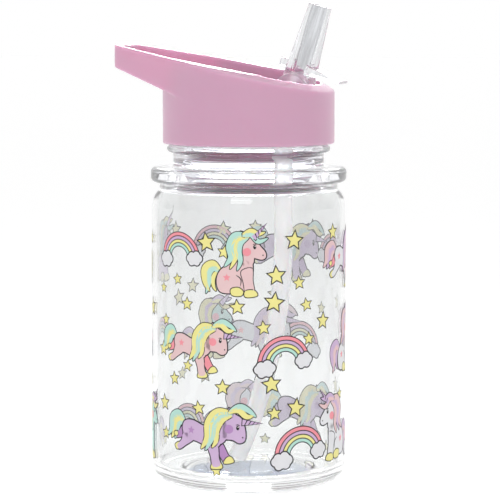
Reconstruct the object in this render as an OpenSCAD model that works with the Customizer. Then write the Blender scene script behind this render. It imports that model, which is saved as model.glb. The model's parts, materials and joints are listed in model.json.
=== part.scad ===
// Child's drinking bottle: clear body, screw lid with a carry loop, flip-up spout and straw.
// Origin at the centre of the base, +Z up, the carry loop points to -X.

/* [Bottle] */
// Outer diameter of the barrel
body_d = 73; // [66:0.5:80]
// Height of the mouth above the base
mouth_z = 134.5; // [130:0.5:142]
// Wall thickness of the barrel
wall = 1.8; // [1.4:0.1:2.4]
// Radius of the rounded corner at the base
base_corner = 5; // [3:0.5:7]
// Height of the hollow under the base
push_up = 1.8; // [1:0.1:2.5]

/* [Lid] */
// Outer diameter of the lid's skirt
skirt_d = 64.6; // [62:0.2:68]
// Distance from the bottle's axis to the end of the carry loop
loop_reach = 50.5; // [44:0.5:56]
// Width of the carry loop at its end
loop_end_w = 26; // [20:1:32]
// Thickness of the carry loop's rim
rim_t = 2.2; // [1.8:0.1:3]
// Width of the recess that the spout folds into
recess_w = 45.8; // [36:0.2:48]
// Depth of the recess
recess_depth = 11; // [10:0.5:11.5]

/* [Spout] */
// Length of the spout from its hinge to its tip
spout_l = 33.5; // [28:0.5:36]
// Outer diameter at the tip
spout_tip_d = 8.5; // [7.5:0.1:9]
// Outer diameter of the hinge barrel
hub_d = 13.6; // [12.4:0.2:14]
// Lean of the open spout
spout_lean = 16.8; // [10:0.2:20]

/* [Straw] */
// Outer diameter of the straw
straw_d = 7; // [6:0.1:7.4]
// Bore of the straw
straw_bore = 5.4; // [4.8:0.1:5.6]
// Radius of the bend toward the base
straw_bend_r = 205; // [180:5:240]

/* [Thread] */
// Pitch of the lid's thread
pitch = 4; // [3.6:0.1:4.4]
// Number of turns on the bottle and in the lid
turns = 1.25; // [1:0.05:1.3]

/* [Hidden] */

$fn = 96;
far = 200;
clear_tint = [0.86, 0.93, 0.97, 0.35];
pink = [0.90, 0.68, 0.78];
silicone_tint = [0.93, 0.94, 0.95, 0.8];

// heights up the bottle
body_r = body_d / 2;
foot_r = body_r - base_corner;
barrel_top = 103.4;
groove_z0 = 109.8;
ring_z0 = 112.6;
ring_z1 = 118.3;
bead_z0 = 123.8;
bead_z1 = 126.6;
groove_r = 33.6;
ring_r = 36.9;
ring_edge = 1.9;
neck_r = 28.4;
bead_r = 30.8;
finish_r = 27;
mouth_bore_r = 24.2;
floor_t = 2.2;

// thread sections: how far they stand out and how thick they are at root and crest
thread_crest_r = 28.4;
lid_root_r = 29.2;
lid_crest_r = 27.5;
root_h = 1.6;
crest_h = 0.7;
thread_z0 = 128.3;

// lid
skirt_r = skirt_d / 2;
skirt_z0 = 127;
gasket_t = 2;
deck_z = mouth_z + gasket_t;
core_r = 22;
edge_z = 155.2;
edge_slope = 10;
rim_z = 154.2;
rim_slope = 13.2;
crown_slope = 17;
under_z = 138.7;
under_slope = 18.5;
floor_slab = 2.4;
recess_floor_z = edge_z - recess_depth / cos(edge_slope);
corner_r = 4.5;
// radius of the recess's front
recess_front = 26.8;

// hinge of the spout
pivot_x = 18.5;
pivot_z = 146.5;
hub_r = hub_d / 2;
hub_w = 13.8;
trunnion_r = 2.2;
trunnion_end = 10.2;
ear_r = 4.2;
ear_h = 8;
ear_y0 = 7.2;
ear_t = 3.4;
// running clearance on a radius, and the wider gap round parts that only pass each other
fit = 0.15;
pass_gap = 0.35;
// how far the spout folds down from open
fold = 97;
heel_reach = 8.9;
heel_t = 1.8;
heel_z = 8;
heel_h = 3;
tab_w = 11;

// drink port, straw and vent
port_x = 13.8;
seal_r = 3.9;
seal_z0 = 137.6;
boss_r = 5.2;
nipple_z0 = 128;
port_r = 1.9;
// the turned part of the drink way, from the port up into the spout
way_r = 2.2;
rib_w = 6.4;
vent_x = -5;
vent_y = 12;
vent_r = 2.2;
vent_cap_r = 4;
vent_seat_z = deck_z + 5.8;
vent_gap = 0.4;
straw_bend_z = 92;
straw_end_z = 7;

// ---- shared shapes ----

// everything below the plane that crosses the axis at height z and falls toward +X
module below_plane(z, slope) {
    translate([0, 0, z]) rotate([0, slope, 0]) translate([-far, -far, -2 * far]) cube(2 * far);
}

// everything above the same plane
module above_plane(z, slope) {
    translate([0, 0, z]) rotate([0, slope, 0]) translate([-far, -far, 0]) cube(2 * far);
}

// one four-sided section of a thread, at angle a and height z
function thread_ring(a, z, r0, h0, r1, h1) = [
    [r0 * cos(a), r0 * sin(a), z - h0 / 2],
    [r1 * cos(a), r1 * sin(a), z - h1 / 2],
    [r1 * cos(a), r1 * sin(a), z + h1 / 2],
    [r0 * cos(a), r0 * sin(a), z + h0 / 2]
];

module thread(start_a, z0, root_r, tip_r, steps = 45) {
    points = [for (i = [0:steps], p = thread_ring(start_a + 360 * turns * i / steps,
        z0 + pitch * turns * i / steps, root_r, root_h, tip_r, crest_h)) p];
    flip = tip_r < root_r;
    sides = [for (i = [0:steps - 1], k = [0:3])
        let (a = 4 * i + k, b = 4 * i + (k + 1) % 4, c = b + 4, d = a + 4)
        flip ? [a, d, c, b] : [a, b, c, d]];
    last = 4 * steps;
    start_cap = flip ? [0, 1, 2, 3] : [3, 2, 1, 0];
    end_cap = flip ? [last + 3, last + 2, last + 1, last] : [last, last + 1, last + 2, last + 3];
    polyhedron(points, concat(sides, [start_cap, end_cap]), convexity = 6);
}

// ---- bottle ----

// solid of the bottle's outside, up to the mouth
module bottle_outside() {
    rotate_extrude($fn = 180) {
        square([foot_r, base_corner + 1]);
        translate([foot_r, base_corner]) intersection() {
            circle(base_corner);
            translate([-1, -base_corner]) square([far, base_corner]);
        }
        translate([0, base_corner]) square([body_r, barrel_top - base_corner]);
        // shoulder, an arc that leaves the barrel upright
        intersection() {
            translate([0, barrel_top]) square([body_r, groove_z0 - barrel_top]);
            translate([body_r - 8.5, barrel_top]) circle(8.5);
        }
        translate([0, barrel_top]) square([body_r - 8.5, groove_z0 - barrel_top]);
        translate([0, groove_z0 - 1]) square([groove_r, ring_z0 - groove_z0 + 2]);
        // ring with round edges
        translate([0, ring_z0]) square([ring_r - ring_edge, ring_z1 - ring_z0]);
        translate([0, ring_z0 + ring_edge]) square([ring_r, ring_z1 - ring_z0 - 2 * ring_edge]);
        for (z = [ring_z0 + ring_edge, ring_z1 - ring_edge])
            translate([ring_r - ring_edge, z]) circle(ring_edge);
        translate([0, ring_z1 - 1]) square([neck_r, bead_z0 - ring_z1 + 2]);
        bead_edge = (bead_z1 - bead_z0) / 2;
        translate([0, bead_z0]) square([bead_r - bead_edge, bead_z1 - bead_z0]);
        translate([bead_r - bead_edge, bead_z0 + bead_edge]) circle(bead_edge);
        translate([0, bead_z1 - 1]) square([finish_r, mouth_z - bead_z1 + 1]);
    }
}

module bottle_body() {
    in_r = body_r - wall;
    throat_r = mouth_bore_r + 1.4;
    color(clear_tint) {
        difference() {
            bottle_outside();
            // drink's space: barrel, shoulder, neck, mouth
            rotate_extrude($fn = 180) {
                in_corner = base_corner - 1;
                floor_z = push_up + floor_t;
                translate([0, floor_z]) square([in_r - in_corner, barrel_top - floor_z]);
                translate([in_r - in_corner, floor_z + in_corner]) intersection() {
                    circle(in_corner);
                    translate([-1, -in_corner]) square([far, in_corner]);
                }
                translate([0, floor_z + in_corner]) square([in_r, barrel_top - floor_z - in_corner]);
                intersection() {
                    translate([0, barrel_top - 0.5]) square([in_r, ring_z0 - barrel_top + 0.5]);
                    translate([in_r - 9, barrel_top]) circle(9);
                }
                translate([0, barrel_top - 0.5]) square([throat_r, bead_z0 - barrel_top + 0.5]);
                translate([0, bead_z0 - 1]) square([mouth_bore_r, far]);
            }
            // hollow under the base, so that the bottle stands on a ring
            translate([0, 0, -1]) cylinder(r1 = 25.5, r2 = 22, h = 1 + push_up);
        }
        thread(0, thread_z0, finish_r - 0.5, thread_crest_r);
    }
}

// ---- lid ----

// tangent point of the straight loop side on the skirt's circle and on the corner circle
loop_cx = -(loop_reach - corner_r);
loop_cy = loop_end_w / 2 - corner_r;
loop_gap = sqrt(loop_cx * loop_cx + loop_cy * loop_cy);
function side_normal(r) = atan2(loop_cy, loop_cx) - acos((r - corner_r) / loop_gap);

// outline of skirt and loop seen from above, drawn inward by inset
module lid_outline(inset = 0) {
    r = skirt_r - inset;
    c = corner_r - inset;
    a = side_normal(skirt_r);
    circle(r, $fn = 180);
    for (s = [-1, 1]) translate([loop_cx, s * loop_cy]) circle(c);
    polygon([
        [r * cos(a), r * sin(a)], [loop_cx + c * cos(a), loop_cy + c * sin(a)],
        [loop_cx, loop_cy], [loop_cx, -loop_cy],
        [loop_cx + c * cos(a), -loop_cy - c * sin(a)], [r * cos(a), -r * sin(a)]
    ]);
    translate([loop_cx - c, -loop_cy]) square([c, 2 * loop_cy]);
}

// the recess and the hole of the loop, seen from above
module recess_outline() {
    intersection() {
        lid_outline(rim_t);
        translate([-far, -recess_w / 2]) square([2 * far, recess_w]);
        union() {
            circle(recess_front, $fn = 180);
            translate([-far, -far]) square([far, 2 * far]);
        }
    }
}

// skirt, loop and slanted crowned top as one solid
module lid_blank() {
    crown_skirt = 8;
    crown_base_r = skirt_r + crown_skirt;
    intersection() {
        below_plane(edge_z, edge_slope);
        // crown: a flat cone on the slanted rim, with the loop left flat
        union() {
            translate([0, 0, rim_z]) rotate([0, rim_slope, 0])
                translate([0, 0, -crown_skirt * tan(crown_slope)])
                cylinder(r1 = crown_base_r, r2 = 0, h = crown_base_r * tan(crown_slope), $fn = 180);
            below_plane(rim_z - crown_skirt * tan(crown_slope) + 0.1, rim_slope);
            translate([-far - skirt_r * 0.437, -far, 0]) cube([far, 2 * far, far]);
        }
        union() {
            translate([0, 0, skirt_z0]) cylinder(r = skirt_r, h = 60, $fn = 180);
            intersection() {
                translate([0, 0, skirt_z0]) linear_extrude(60) lid_outline();
                above_plane(under_z, under_slope);
            }
        }
    }
}

module hinge_ear() {
    translate([pivot_x, ear_t / 2, pivot_z]) rotate([90, 0, 0]) linear_extrude(ear_t) {
        circle(ear_r);
        translate([-ear_r, -ear_h]) square([2 * ear_r, ear_h]);
    }
}

module lid_cap() {
    floor_z = recess_floor_z;
    color(pink) {
        difference() {
            union() {
                difference() {
                    lid_blank();
                    // recess for the spout
                    intersection() {
                        translate([0, 0, skirt_z0]) linear_extrude(60) recess_outline();
                        above_plane(floor_z, edge_slope);
                    }
                    // finger hole, right through outside the skirt
                    translate([0, 0, skirt_z0 - 1]) linear_extrude(60) difference() {
                        recess_outline();
                        circle(skirt_r, $fn = 180);
                    }
                    // socket for the bottle's mouth
                    translate([0, 0, skirt_z0 - 1]) cylinder(r = lid_root_r, h = deck_z - skirt_z0 + 1);
                    // core under the recess floor
                    intersection() {
                        translate([0, 0, deck_z - 1]) cylinder(r = core_r, h = 30);
                        below_plane(floor_z - floor_slab / cos(edge_slope), edge_slope);
                    }
                }
                // ears that hold the spout
                for (s = [-1, 1]) translate([0, s * (ear_y0 + ear_t / 2), 0]) hinge_ear();
                intersection() {
                    union() {
                        translate([port_x, 0, deck_z]) cylinder(r = boss_r, h = 12);
                        translate([port_x - rib_w - 2, -rib_w / 2, deck_z + 1]) cube([rib_w + 2, rib_w, 12]);
                        translate([vent_x, vent_y, deck_z + 3]) cylinder(r = vent_cap_r + 1, h = 12);
                    }
                    below_plane(floor_z, edge_slope);
                }
                translate([port_x, 0, nipple_z0]) cylinder(r = straw_bore / 2, h = deck_z - nipple_z0 + 0.5);
            }
            // seat of the hinge barrel and the trunnion holes
            translate([pivot_x, ear_y0, pivot_z]) rotate([90, 0, 0]) cylinder(r = hub_r + 2 * fit, h = 2 * ear_y0);
            translate([pivot_x, 20, pivot_z]) rotate([90, 0, 0]) cylinder(r = trunnion_r + fit, h = 40);
            // trough under the folded spout, and the pocket for its heel
            translate([pivot_x, 0, pivot_z]) rotate([0, spout_lean - fold, 0])
                cylinder(r1 = hub_r + pass_gap, r2 = spout_tip_d / 2 + pass_gap, h = spout_l);
            translate([pivot_x, 0, pivot_z]) rotate([0, edge_slope, 0])
                translate([-heel_z - heel_h - 3, -heel_t / 2 - pass_gap, -heel_reach - 0.8])
                cube([heel_h + 4, heel_t + 2 * pass_gap, heel_reach]);
            // drink port
            translate([port_x, 0, seal_z0]) cylinder(r = seal_r, h = 8);
            translate([port_x, 0, nipple_z0 - 1]) cylinder(r = port_r, h = 20);
            // vent
            translate([vent_x, vent_y, deck_z]) cylinder(r = vent_r, h = 12);
            translate([vent_x, vent_y, vent_seat_z]) cylinder(r = vent_cap_r, h = 20);
        }
        // half a turn round from the bottle's, so the two threads lie half a pitch apart
        thread(180, thread_z0, lid_root_r + 0.5, lid_crest_r);
    }
}

module lid_gasket() {
    color(silicone_tint) translate([0, 0, mouth_z]) difference() {
        cylinder(r = lid_root_r - 0.5, h = gasket_t);
        translate([0, 0, -1]) cylinder(r = mouth_bore_r - 0.6, h = gasket_t + 2);
    }
}

// ---- spout, in its own frame: hinge axis along Y through the origin, tube up +Z ----

module spout_upright() {
    tip_r = spout_tip_d / 2;
    bore_r = 2.6;
    difference() {
        union() {
            // the cone stays just inside the hinge barrel at its root
            cylinder(r1 = hub_r - fit, r2 = tip_r, h = spout_l);
            rotate([90, 0, 0]) translate([0, 0, -hub_w / 2]) cylinder(r = hub_r, h = hub_w);
            rotate([90, 0, 0]) translate([0, 0, -trunnion_end]) cylinder(r = trunnion_r, h = 2 * trunnion_end);
            // thumb tab
            rotate([90, 0, 0]) translate([0, 0, -tab_w / 2]) linear_extrude(tab_w)
                polygon([[3, 7.6], [12, 8.1], [16.6, 8.1], [17, 9.1], [11, 10], [3, 11.2]]);
            // heel that drops into the recess floor
            translate([-heel_reach, -heel_t / 2, heel_z]) cube([heel_reach - 3, heel_t, heel_h]);
        }
        // bore, then the turn toward the drink port
        translate([0, 0, -0.01]) cylinder(r1 = bore_r, r2 = tip_r - 1.2, h = spout_l + 0.02);
        rotate([0, 180 + spout_lean_to_port, 0]) cylinder(r = way_r, h = 10);
        sphere(r = bore_r);
    }
}

// angle between the tube and the way down to the port
spout_lean_to_port = 43 - spout_lean;

module spout() {
    color(clear_tint) translate([pivot_x, 0, pivot_z]) rotate([0, spout_lean, 0]) spout_upright();
}

module spout_seal() {
    color(silicone_tint) difference() {
        translate([port_x, 0, seal_z0]) cylinder(r = seal_r, h = 6);
        translate([port_x, 0, seal_z0 - 1]) cylinder(r = way_r, h = 10);
        translate([pivot_x, 20, pivot_z]) rotate([90, 0, 0]) cylinder(r = hub_r + fit, h = 40);
        // clear of the folded spout
        above_plane(recess_floor_z - 2.2, edge_slope);
    }
}

module vent_valve() {
    stem_z = deck_z + 4;
    color(silicone_tint) translate([vent_x, vent_y, 0]) {
        translate([0, 0, stem_z]) cylinder(r = vent_r - vent_gap, h = 2);
        translate([0, 0, vent_seat_z]) cylinder(r = vent_cap_r - vent_gap, h = 1.2);
        translate([0, 0, stem_z - 1.6]) cylinder(r1 = 1, r2 = vent_r - vent_gap, h = 1.6);
    }
}

// ---- straw: upright to the bend, then an arc toward the middle of the base ----

module straw() {
    bend_a = asin((straw_bend_z - straw_end_z) / straw_bend_r);
    color([0.96, 0.97, 0.98, 0.6]) {
        translate([port_x, 0, straw_bend_z]) difference() {
            cylinder(d = straw_d, h = deck_z - straw_bend_z);
            translate([0, 0, -1]) cylinder(d = straw_bore, h = deck_z - straw_bend_z + 2);
        }
        translate([port_x - straw_bend_r, 0, straw_bend_z]) rotate([-90, 0, 0])
            rotate_extrude(angle = bend_a, $fn = 180) translate([straw_bend_r, 0]) difference() {
                circle(d = straw_d, $fn = 48);
                circle(d = straw_bore, $fn = 48);
            }
    }
}

bottle_body();
lid_cap();
lid_gasket();
spout();
spout_seal();
vent_valve();
straw();
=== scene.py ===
"""Builds the looks of a child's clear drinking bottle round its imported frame."""
import json
import math

import bmesh
import bpy
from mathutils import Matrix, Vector


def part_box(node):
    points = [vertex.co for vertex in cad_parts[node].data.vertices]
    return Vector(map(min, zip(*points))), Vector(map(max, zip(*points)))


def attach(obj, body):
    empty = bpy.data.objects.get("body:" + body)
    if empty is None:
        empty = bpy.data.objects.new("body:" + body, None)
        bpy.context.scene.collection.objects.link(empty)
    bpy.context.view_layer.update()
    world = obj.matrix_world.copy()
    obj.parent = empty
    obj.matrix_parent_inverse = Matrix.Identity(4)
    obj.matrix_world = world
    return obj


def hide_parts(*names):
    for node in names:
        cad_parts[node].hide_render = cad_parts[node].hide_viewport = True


bl_info = {
    "name": "Kids Bottle Looks",
    "version": (1, 0, 0),
    "blender": (4, 5, 0),
    "location": "3D View > Sidebar > Bottle",
    "description": "Makes the visible pieces of a clear printed drinking bottle",
    "category": "Object",
}

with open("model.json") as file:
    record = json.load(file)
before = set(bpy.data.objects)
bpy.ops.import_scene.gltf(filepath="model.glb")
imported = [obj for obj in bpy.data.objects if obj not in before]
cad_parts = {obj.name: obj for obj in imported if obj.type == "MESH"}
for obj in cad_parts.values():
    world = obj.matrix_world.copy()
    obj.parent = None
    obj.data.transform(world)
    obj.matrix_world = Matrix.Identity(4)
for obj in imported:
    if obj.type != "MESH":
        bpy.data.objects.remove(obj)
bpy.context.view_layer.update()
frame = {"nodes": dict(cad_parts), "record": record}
MM = 0.001
BODY_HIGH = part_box("bottle_body")[1]
MOUNTS = {m["name"]: m for m in frame["record"]["mounts"]}
BARREL_R = MOUNTS["barrel"]["dims"]["r_mm"]
RING_R = BODY_HIGH.x / MM
MOUTH_Z = BODY_HIGH.z / MM

# the view that the print is laid out for, in degrees round from the front
FRONT = 19.4

SPOUT_LEAN = 16.8   # degrees from upright, along which the spout's darker streaks run
STREAK_W = 1.1      # mm, width of the streaks
STREAK_L = 30       # mm, length of the streaks
HUB_R = 7.4         # mm from the spout's hinge axis, where its satin hub ends and its clear tube begins
HOLLOW_R = 24.2     # mm, the part of the underside tinted darker, mostly painted shade, and its greatest height
HOLLOW_TOP = 2.5
RING_LOW = 110      # mm, height from which the shell is the thick ring and neck, tinted lighter as painted light


# ---- colours and nodes ----

def linear(hex_text):
    """sRGB hex to linear RGBA."""
    out = []
    for i in (0, 2, 4):
        c = int(hex_text[i:i + 2], 16) / 255
        out.append(c / 12.92 if c <= 0.04045 else ((c + 0.055) / 1.055) ** 2.4)
    return (*out, 1.0)


INKS = {
    "line": "1d1a20",
    "pink": "e3c2c3",
    "rose": "ee949e",
    "lilac": "ccb0d2",
    "purple": "b489bd",
    "yellow": "ebe392",
    "mint": "b6ddd2",
    "white": "e3e3e6",
    "cream": "f4efe6",
}


def add(tree, kind, settings=None, links=None):
    """Adds a node, sets its sockets and properties, and links its inputs from (node, output) pairs."""
    node = tree.nodes.new(kind)
    for key, value in (settings or {}).items():
        if isinstance(key, int) or key in node.inputs:
            node.inputs[key].default_value = value
        else:
            setattr(node, key, value)
    for key, (source, output) in (links or {}).items():
        tree.links.new(source.outputs[output], node.inputs[key])
    return node


def new_material(name):
    """An empty node material and its output node."""
    mat = bpy.data.materials.new(name)
    mat.use_nodes = True
    mat.node_tree.nodes.clear()
    return mat, mat.node_tree, mat.node_tree.nodes.new("ShaderNodeOutputMaterial")


def noise(tree, scale, detail, mapping=None):
    """Cloudy noise in the object's own coordinates, in cells a metre unless a mapping stretches them."""
    place, output = add(tree, "ShaderNodeTexCoord"), "Object"
    if mapping:
        place, output = add(tree, "ShaderNodeMapping", mapping, {"Vector": (place, output)}), "Vector"
    return add(tree, "ShaderNodeTexNoise", {"Scale": scale, "Detail": detail}, {"Vector": (place, output)})


def ramp(tree, source, low, high, start, end):
    """Maps a (node, output) pair from low..high onto start..end."""
    return add(tree, "ShaderNodeMapRange",
               {"From Min": low, "From Max": high, "To Min": start, "To Max": end}, {"Value": source})


def surface(tree, output, shader, socket="BSDF"):
    """Links a shader to the material's surface."""
    tree.links.new(shader.outputs[socket], output.inputs["Surface"])


def lets_light_through(tree, out, shader, shade=1.0):
    """Shows the shader, but lets lamps shine through it as through clear plastic."""
    clear = add(tree, "ShaderNodeBsdfTransparent", {"Color": (shade, shade, shade, 1.0)})
    path = add(tree, "ShaderNodeLightPath")
    mix = add(tree, "ShaderNodeMixShader", {},
              {0: (path, "Is Shadow Ray"), 1: (shader, "BSDF"), 2: (clear, "BSDF")})
    surface(tree, out, mix, "Shader")


def clear_plastic(name, tint, roughness, ior=1.5, streaks=0.0):
    """Clear moulded plastic with a faint ripple in its gloss, and darker streaks along the spout if asked."""
    mat, tree, out = new_material(name)
    ripple = noise(tree, 45.0, 1.0)
    bump = add(tree, "ShaderNodeBump", {"Strength": 0.035, "Distance": 0.0006}, {"Height": (ripple, "Fac")})
    glass = add(tree, "ShaderNodeBsdfPrincipled",
                {"Base Color": tint, "Roughness": roughness, "IOR": ior, "Transmission Weight": 1.0},
                {"Normal": (bump, "Normal")})
    if streaks:
        lines = noise(tree, 1.0, 1.0, {"vector_type": "TEXTURE", "Rotation": (0, math.radians(SPOUT_LEAN), 0),
                                       "Scale": (STREAK_W * MM, STREAK_W * MM, STREAK_L * MM)})
        shade = ramp(tree, (lines, "Fac"), 0.42, 0.62, 1.0, 1.0 - streaks)
        tone = add(tree, "ShaderNodeVectorMath", {"operation": "SCALE", 0: tint[:3]},
                   {"Scale": (shade, "Result")})
        tree.links.new(tone.outputs["Vector"], glass.inputs["Base Color"])
    lets_light_through(tree, out, glass)
    return mat


TRITAN_IOR = 1.54
STRAW_PAINTED_GLOW = 0.1    # painted glow that the straw gives off, beside white; it is no lamp


# Tritan copolyester, blow moulded: water clear with a cool cast where it is seen edge on
def tritan_clear():
    return clear_plastic("tritan_clear_moulded", linear(colours().bottle), 0.015, TRITAN_IOR)


# The same Tritan tinted where it is thick: the underside's hollow darker and bluer, mostly painted shade
# beside the thick base's own tint; the ring and neck lighter than the barrel, as painted light
def tritan_thick_painted_tint(where, tint):
    return clear_plastic(f"tritan_{where}_moulded", linear(tint), 0.015, TRITAN_IOR)


# SAN, injection moulded: clear, hard and bright, with faint darker streaks along the spout
def san_clear():
    return clear_plastic("san_clear_injection_moulded", linear(colours().spout), 0.03, streaks=0.22)


# SAN where the tool is spark eroded, round the spout's hub: clear but satin, so what is behind it blurs
def san_satin():
    return clear_plastic("san_satin_injection_moulded", linear(colours().spout), 0.28)


# Polypropylene, injection moulded: pastel, satin, light sinks in a little and softens its shadows
def polypropylene_pink():
    mat, tree, out = new_material("polypropylene_pink_moulded")
    cloud, grain = noise(tree, 28.0, 3.0), noise(tree, 2600.0, 2.0)
    pink = linear(colours().lid)
    deep = (pink[0] * 0.965, pink[1] * 0.93, pink[2] * 0.955, 1.0)
    tone = add(tree, "ShaderNodeMix", {"data_type": "RGBA", 6: deep, 7: pink}, {"Factor": (cloud, "Fac")})
    rough = ramp(tree, (cloud, "Fac"), 0.0, 1.0, 0.26, 0.34)
    bump = add(tree, "ShaderNodeBump", {"Strength": 0.05, "Distance": 0.00008}, {"Height": (grain, "Fac")})
    body = add(tree, "ShaderNodeBsdfPrincipled",
               {"IOR": 1.49, "Subsurface Weight": 0.8, "Subsurface Radius": (1.0, 0.6, 0.75),
                "Subsurface Scale": 0.005},
               {"Base Color": (tone, 2), "Roughness": (rough, "Result"), "Normal": (bump, "Normal")})
    surface(tree, out, body)
    return mat


# Polyethylene tube, extruded: milky, so what is behind it shows only as light and dark; it is given a little
# painted glow that lightens it inside the bottle
def polyethylene_milky():
    mat, tree, out = new_material("polyethylene_milky_extruded")
    lines = noise(tree, 300.0, 1.0, {"Scale": (1.0, 1.0, 0.03)})
    bump = add(tree, "ShaderNodeBump", {"Strength": 0.08, "Distance": 0.0001}, {"Height": (lines, "Fac")})
    # the white emission is a painted glow that lightens the straw; it is no lamp
    milky = add(tree, "ShaderNodeBsdfPrincipled",
                {"Base Color": linear(colours().straw), "Roughness": 0.25, "IOR": 1.3,
                 "Transmission Weight": 0.8, "Subsurface Weight": 0.5, "Subsurface Scale": 0.002,
                 "Emission Color": (1, 1, 1, 1), "Emission Strength": STRAW_PAINTED_GLOW},
                {"Normal": (bump, "Normal")})
    lets_light_through(tree, out, milky, 0.9)
    return mat


# Silicone rubber, compression moulded: soft, waxy white with no sharp gloss
def silicone_white():
    mat, tree, out = new_material("silicone_white_moulded")
    dust = noise(tree, 700.0, 3.0)
    rough = ramp(tree, (dust, "Fac"), 0.0, 1.0, 0.45, 0.6)
    rubber = add(tree, "ShaderNodeBsdfPrincipled",
                 {"Base Color": linear("eceef0"), "IOR": 1.41, "Subsurface Weight": 0.5,
                  "Subsurface Scale": 0.002},
                 {"Roughness": (rough, "Result")})
    surface(tree, out, rubber)
    return mat


# Screen ink on plastic: slightly uneven where the mesh let more or less of it through, under a soft gloss;
# its back, seen through the bottle, is given a painted glow of its own colour, which lightens it
def screen_ink(name, colour, painted_glow=0.0):
    mat, tree, out = new_material(name)
    patch = noise(tree, 350.0, 2.0)
    thin = tuple(c * 0.95 for c in colour[:3]) + (1.0,)
    tone = add(tree, "ShaderNodeMix", {"data_type": "RGBA", 6: thin, 7: colour}, {"Factor": (patch, "Fac")})
    # the emission is a painted glow, given only to the backs of the inks; it is no lamp
    ink = add(tree, "ShaderNodeBsdfPrincipled",
              {"Roughness": 0.45, "IOR": 1.4, "Emission Color": colour, "Emission Strength": painted_glow},
              {"Base Color": (tone, 2)})
    surface(tree, out, ink)
    return mat


def blend_colour(a, b, share):
    """Linear colour that lies the given share of the way from a to b."""
    return tuple(a[i] * (1 - share) + b[i] * share for i in range(3)) + (1.0,)


INK_NAMES = list(INKS)
# how far the back of an ink leans to the grey underbase, and the share of its own colour that it gives off as
# painted glow
BACK_LEAN, BACK_PAINTED_GLOW = 0.55, 0.5
LINE_LEAN, LINE_PAINTED_GLOW = 0.15, 0.2


def ink_set():
    """The printed inks, then the same inks as their backs show: duller, over a grey underbase, with a painted
    glow.
    """
    if "ink_line" not in bpy.data.materials:
        under = linear("dcdce2")
        for name in INK_NAMES:
            screen_ink("ink_" + name, linear(INKS[name]))
        for name in INK_NAMES:
            share, painted_glow = (LINE_LEAN, LINE_PAINTED_GLOW) if name == "line" else (BACK_LEAN, BACK_PAINTED_GLOW)
            screen_ink("ink_back_" + name, blend_colour(linear(INKS[name]), under, share), painted_glow)
    return [bpy.data.materials[side + name] for side in ("ink_", "ink_back_") for name in INK_NAMES]


# ---- mesh helpers ----

def mesh_object(name, verts, faces, materials, indices=None, smooth=True):
    """A new object from points in metres and faces, with a material index a face if given."""
    mesh = bpy.data.meshes.new(name)
    mesh.from_pydata(verts, [], faces)
    for m in materials:
        mesh.materials.append(m)
    if indices:
        mesh.polygons.foreach_set("material_index", indices)
    mesh.polygons.foreach_set("use_smooth", [smooth] * len(mesh.polygons))
    mesh.update()
    obj = bpy.data.objects.new(name, mesh)
    bpy.context.scene.collection.objects.link(obj)
    return obj


def face_outward(obj):
    """Merges doubles and turns every face of a closed mesh outward."""
    bm = bmesh.new()
    bm.from_mesh(obj.data)
    bmesh.ops.remove_doubles(bm, verts=bm.verts, dist=1e-7)
    bmesh.ops.recalc_face_normals(bm, faces=bm.faces)
    bm.to_mesh(obj.data)
    bm.free()


def polar(r, degrees, cx=0.0, cy=0.0):
    """The point that far from a centre, in that direction."""
    return cx + r * math.cos(math.radians(degrees)), cy + r * math.sin(math.radians(degrees))


def arc(cx, cz, r, start, end, steps):
    """Points along an arc, its ends in degrees."""
    return [polar(r, start + (end - start) * i / steps, cx, cz) for i in range(steps + 1)]


def applied(obj):
    """Turns an object and its modifiers into a plain mesh, in place."""
    graph = bpy.context.evaluated_depsgraph_get()
    mesh = bpy.data.meshes.new_from_object(obj.evaluated_get(graph))
    obj.modifiers.clear()
    old = obj.data
    obj.data = mesh
    if old.users == 0:
        bpy.data.meshes.remove(old)
    return obj


def cover(obj, mat):
    """Gives an object one material in place of any it had."""
    obj.data.materials.clear()
    obj.data.materials.append(mat)


def moulded_copy(node, name, voxel, rounds, mat):
    """A copy of a CAD node with its edges rounded as a mould leaves them."""
    mesh = frame["nodes"][node].data.copy()
    obj = bpy.data.objects.new(name, mesh)
    bpy.context.scene.collection.objects.link(obj)
    bm = bmesh.new()
    bm.from_mesh(mesh)
    bmesh.ops.remove_doubles(bm, verts=bm.verts, dist=1e-6)
    bm.to_mesh(mesh)
    bm.free()
    remesh = obj.modifiers.new("remesh", "REMESH")
    remesh.mode = "VOXEL"
    remesh.voxel_size = voxel
    relax = obj.modifiers.new("relax", "SMOOTH")
    relax.factor = 0.5
    relax.iterations = rounds
    applied(obj)
    cover(obj, mat)
    obj.data.polygons.foreach_set("use_smooth", [True] * len(obj.data.polygons))
    return obj


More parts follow.
